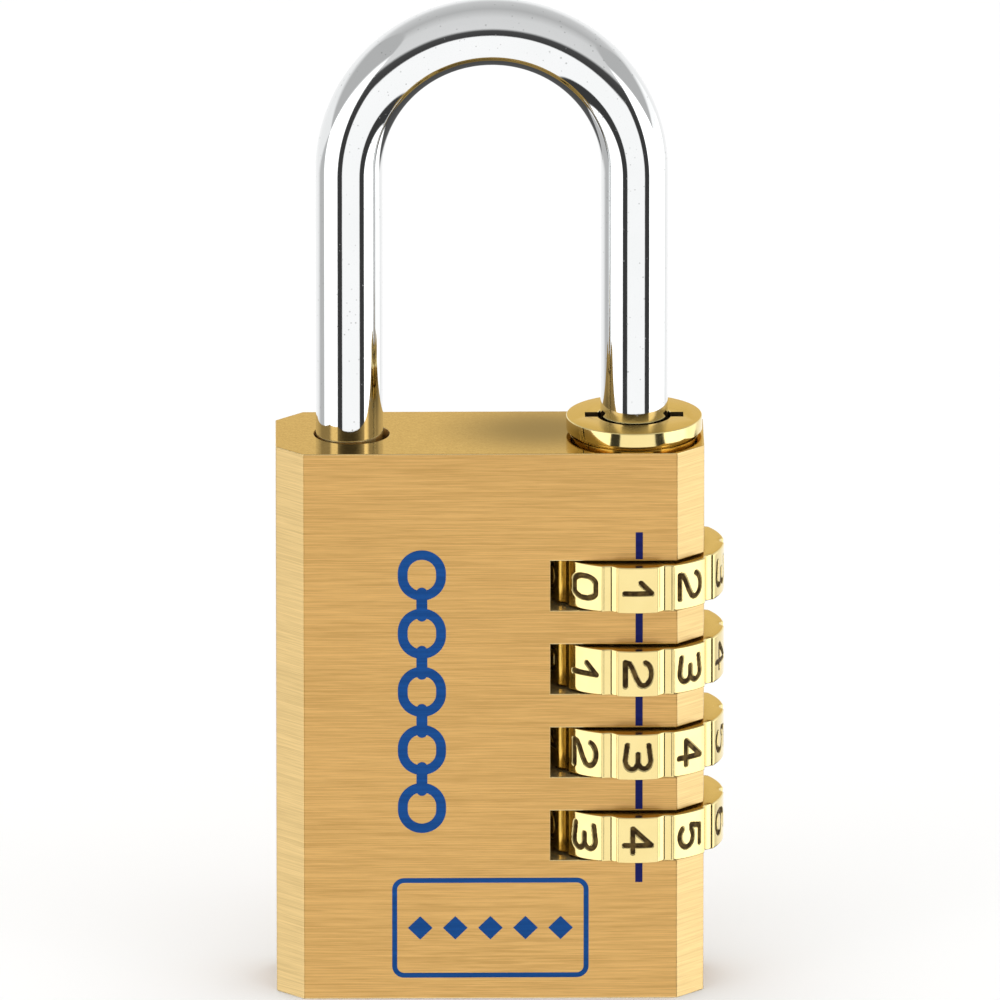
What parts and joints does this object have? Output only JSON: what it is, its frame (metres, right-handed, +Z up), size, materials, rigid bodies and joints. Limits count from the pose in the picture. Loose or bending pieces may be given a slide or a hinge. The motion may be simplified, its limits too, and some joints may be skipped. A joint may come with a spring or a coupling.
{
  "type": "combination padlock",
  "caption": "Solid brass padlock with a round steel shackle, a screwed-in collar and stacked number wheels that turn to open it.",
  "frame": {"origin": "middle of the flat base that the lock stands on", "axes": "+Z up along the shackle's legs, +X towards the number wheels and the long leg, -Y out of the front face with the index line"},
  "size_m": [0.0419, 0.017, 0.0957],
  "materials": {
    "brushed_brass": "horizontally brushed brass",
    "polished_brass": "polished turned brass",
    "chrome_plate": "bright chrome plate on steel bar",
    "zinc_steel": "zinc-plated turned steel",
    "spring_steel": "dark drawn spring wire"
  },
  "bodies": {
    "lock_case": {"lock_body": "brushed_brass", "retaining_collar": "polished_brass", "bush_return_spring": "spring_steel", "detent_spring_1": "spring_steel", "detent_spring_2": "spring_steel", "detent_spring_3": "spring_steel", "detent_spring_4": "spring_steel"},
    "shackle_set": {"shackle": "chrome_plate", "locking_spindle": "zinc_steel"},
    "return_washer": {"thrust_washer": "zinc_steel"},
    "dial_1": {"number_wheel_1": "polished_brass"},
    "bush_1": {"code_bush_1": "zinc_steel"},
    "detent_1": {"detent_ball_1": "zinc_steel"},
    "dial_2": {"number_wheel_2": "polished_brass"},
    "bush_2": {"code_bush_2": "zinc_steel"},
    "detent_2": {"detent_ball_2": "zinc_steel"},
    "dial_3": {"number_wheel_3": "polished_brass"},
    "bush_3": {"code_bush_3": "zinc_steel"},
    "detent_3": {"detent_ball_3": "zinc_steel"},
    "dial_4": {"number_wheel_4": "polished_brass"},
    "bush_4": {"code_bush_4": "zinc_steel"},
    "detent_4": {"detent_ball_4": "zinc_steel"}
  },
  "joints": [
    {"name": "shackle_lift", "type": "slide", "parent": "lock_case", "child": "shackle_set", "axis": [0, 0, 1], "range_m": [0, 0.00816]},
    {"name": "dial_1_turn", "type": "hinge", "parent": "lock_case", "child": "dial_1", "pos_m": [0.0135, 0, 0.04049], "axis": [0, 0, 1], "continuous": true},
    {"name": "dial_2_turn", "type": "hinge", "parent": "lock_case", "child": "dial_2", "pos_m": [0.0135, 0, 0.03233], "axis": [0, 0, 1], "continuous": true},
    {"name": "dial_3_turn", "type": "hinge", "parent": "lock_case", "child": "dial_3", "pos_m": [0.0135, 0, 0.02417], "axis": [0, 0, 1], "continuous": true},
    {"name": "dial_4_turn", "type": "hinge", "parent": "lock_case", "child": "dial_4", "pos_m": [0.0135, 0, 0.01601], "axis": [0, 0, 1], "continuous": true},
    {"name": "bush_1_shift", "type": "slide", "parent": "dial_1", "child": "bush_1", "axis": [0, 0, 1], "range_m": [-0.0015, 0], "stiffness_N_per_m": 400, "springref_m": 0.004},
    {"name": "bush_2_shift", "type": "slide", "parent": "dial_2", "child": "bush_2", "axis": [0, 0, 1], "range_m": [-0.0015, 0]},
    {"name": "bush_3_shift", "type": "slide", "parent": "dial_3", "child": "bush_3", "axis": [0, 0, 1], "range_m": [-0.0015, 0]},
    {"name": "bush_4_shift", "type": "slide", "parent": "dial_4", "child": "bush_4", "axis": [0, 0, 1], "range_m": [-0.0015, 0]},
    {"name": "washer_shift", "type": "slide", "parent": "lock_case", "child": "return_washer", "axis": [0, 0, 1], "range_m": [-0.0015, 0], "deforming": ["bush_return_spring"]},
    {"name": "detent_1_click", "type": "slide", "parent": "lock_case", "child": "detent_1", "axis": [1, 0, 0], "range_m": [0, 0.00035], "stiffness_N_per_m": 300, "springref_m": 0.0015},
    {"name": "detent_2_click", "type": "slide", "parent": "lock_case", "child": "detent_2", "axis": [1, 0, 0], "range_m": [0, 0.00035], "stiffness_N_per_m": 300, "springref_m": 0.0015},
    {"name": "detent_3_click", "type": "slide", "parent": "lock_case", "child": "detent_3", "axis": [1, 0, 0], "range_m": [0, 0.00035], "stiffness_N_per_m": 300, "springref_m": 0.0015},
    {"name": "detent_4_click", "type": "slide", "parent": "lock_case", "child": "detent_4", "axis": [1, 0, 0], "range_m": [0, 0.00035], "stiffness_N_per_m": 300, "springref_m": 0.0015}
  ],
  "couplings": [
    {"joint": "bush_2_shift", "follows": "bush_1_shift", "ratio": 1},
    {"joint": "bush_3_shift", "follows": "bush_1_shift", "ratio": 1},
    {"joint": "bush_4_shift", "follows": "bush_1_shift", "ratio": 1},
    {"joint": "washer_shift", "follows": "bush_1_shift", "ratio": 1}
  ]
}
